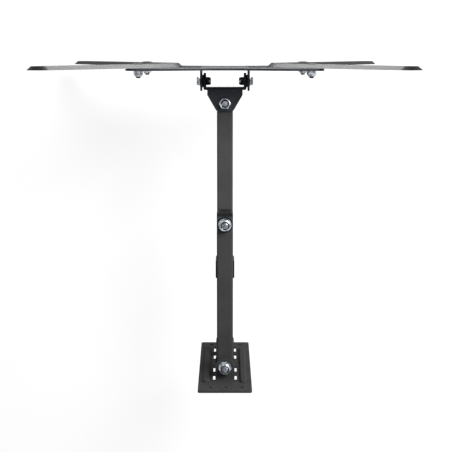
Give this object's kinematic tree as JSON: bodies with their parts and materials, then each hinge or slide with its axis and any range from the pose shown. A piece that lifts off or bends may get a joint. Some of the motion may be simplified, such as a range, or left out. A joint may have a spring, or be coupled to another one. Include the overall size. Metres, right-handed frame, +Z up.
{
  "type": "swivel tv wall mount",
  "caption": "Folding swivel wall mount for a flat screen: wall plate, jointed arm of steel tubes, tilting screen plate and swinging pressed adapter arms.",
  "frame": {"origin": "middle of the wall plate's back face", "axes": "+X to the right seen from the room, +Y out from the wall, +Z up"},
  "size_m": [0.43, 0.3945, 0.43],
  "materials": {
    "powder_coated_steel": "fine satin powder coat",
    "black_coated_steel": "satin black powder coat",
    "black_nylon": "moulded, matt",
    "zinc_plated_steel": "bright zinc plating"
  },
  "bodies": {
    "wall": {"wall_plate": "powder_coated_steel", "wall_pivot_bolt": "zinc_plated_steel", "wall_pivot_nut": "zinc_plated_steel", "wall_pivot_washers": "zinc_plated_steel"},
    "rear_link": {"rear_tube_upper": "powder_coated_steel", "rear_tube_lower": "powder_coated_steel", "rear_tube_caps": "black_nylon", "rear_tube_sleeves": "zinc_plated_steel", "rear_thrust_washers": "black_nylon", "elbow_bolt": "zinc_plated_steel", "elbow_nut": "zinc_plated_steel", "elbow_washers": "zinc_plated_steel", "elbow_discs": "black_nylon", "cable_clip": "black_nylon"},
    "front_link": {"front_tube": "powder_coated_steel", "front_tube_caps": "black_nylon", "front_tube_sleeves": "zinc_plated_steel", "elbow_spacers": "black_nylon", "head_thrust_washers": "black_nylon"},
    "head": {"swivel_head": "black_coated_steel", "head_pivot_bolt": "zinc_plated_steel", "head_pivot_nut": "zinc_plated_steel", "tilt_bolts": "zinc_plated_steel", "tilt_nuts": "zinc_plated_steel", "tilt_washers": "zinc_plated_steel", "tilt_friction_washers": "black_nylon"},
    "screen": {"screen_plate": "black_coated_steel", "arm_bolts": "black_coated_steel", "arm_spacers": "zinc_plated_steel", "arm_washers": "zinc_plated_steel", "arm_nuts": "zinc_plated_steel"},
    "arm_upper_right": {"arm_upper_right": "black_coated_steel"},
    "arm_upper_left": {"arm_upper_left": "black_coated_steel"},
    "arm_lower_right": {"arm_lower_right": "black_coated_steel"},
    "arm_lower_left": {"arm_lower_left": "black_coated_steel"}
  },
  "joints": [
    {"name": "wall_swivel", "type": "hinge", "parent": "wall", "child": "rear_link", "pos_m": [0, 0.018, 0], "axis": [0, 0, 1], "range_deg": [-90, 90]},
    {"name": "elbow_swivel", "type": "hinge", "parent": "rear_link", "child": "front_link", "pos_m": [0, 0.198, 0], "axis": [0, 0, -1], "range_deg": [-145, 145]},
    {"name": "head_swivel", "type": "hinge", "parent": "front_link", "child": "head", "pos_m": [0, 0.344, 0], "axis": [0, 0, 1], "range_deg": [-90, 90]},
    {"name": "screen_tilt", "type": "hinge", "parent": "head", "child": "screen", "pos_m": [0, 0.371, 0], "axis": [1, 0, 0], "range_deg": [-15, 5]},
    {"name": "arm_swing_upper_right", "type": "hinge", "parent": "screen", "child": "arm_upper_right", "pos_m": [0.103, 0.3888, 0.079], "axis": [0, 1, 0], "range_deg": [-30, 30]},
    {"name": "arm_swing_upper_left", "type": "hinge", "parent": "screen", "child": "arm_upper_left", "pos_m": [-0.103, 0.3888, 0.079], "axis": [0, 1, 0], "range_deg": [-30, 30]},
    {"name": "arm_swing_lower_right", "type": "hinge", "parent": "screen", "child": "arm_lower_right", "pos_m": [0.103, 0.3888, -0.079], "axis": [0, 1, 0], "range_deg": [-30, 30]},
    {"name": "arm_swing_lower_left", "type": "hinge", "parent": "screen", "child": "arm_lower_left", "pos_m": [-0.103, 0.3888, -0.079], "axis": [0, 1, 0], "range_deg": [-30, 30]}
  ]
}
